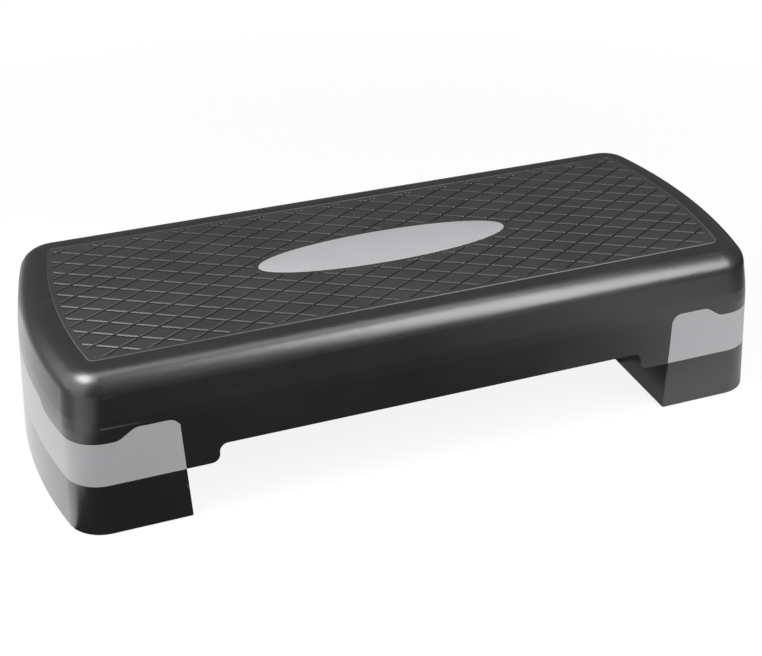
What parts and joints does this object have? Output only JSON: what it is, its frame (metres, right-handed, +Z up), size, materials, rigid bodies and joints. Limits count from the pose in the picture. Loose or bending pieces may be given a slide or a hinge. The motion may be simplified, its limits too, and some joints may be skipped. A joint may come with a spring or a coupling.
{
  "type": "aerobic step platform",
  "caption": "Low exercise step: a ribbed moulded deck with a grooved non-slip tread on end risers, whose lower feet pull off to change the step from high to low.",
  "frame": {"origin": "on the floor under the middle of the platform", "axes": "+X along the platform's length, +Y to the back, +Z up"},
  "size_m": [0.7068, 0.2958, 0.1505],
  "materials": {
    "deck_plastic": "semi-gloss moulded black polypropylene",
    "tread_rubber": "matte warm dark grey soft non-slip sheet",
    "badge_plastic": "satin light grey moulded plastic",
    "riser_plastic": "satin light grey moulded polypropylene",
    "foot_plastic": "semi-gloss moulded black polypropylene",
    "pad_rubber": "matte dark grey rubber",
    "screw_steel": "zinc-plated steel"
  },
  "bodies": {
    "platform": {"deck": "deck_plastic", "tread_mat": "tread_rubber", "badge_plate": "badge_plastic", "left_riser": "riser_plastic", "right_riser": "riser_plastic", "left_riser_screws": "screw_steel", "right_riser_screws": "screw_steel"},
    "left_foot_set": {"left_foot": "foot_plastic", "left_front_inner_pad": "pad_rubber", "left_front_outer_pad": "pad_rubber", "left_back_inner_pad": "pad_rubber", "left_back_outer_pad": "pad_rubber"},
    "right_foot_set": {"right_foot": "foot_plastic", "right_front_inner_pad": "pad_rubber", "right_front_outer_pad": "pad_rubber", "right_back_inner_pad": "pad_rubber", "right_back_outer_pad": "pad_rubber"}
  },
  "joints": [
    {"name": "left_foot_pull", "type": "slide", "parent": "platform", "child": "left_foot_set", "axis": [0, 0, -1], "range_m": [0, 0.06]},
    {"name": "right_foot_pull", "type": "slide", "parent": "platform", "child": "right_foot_set", "axis": [0, 0, -1], "range_m": [0, 0.06]}
  ]
}
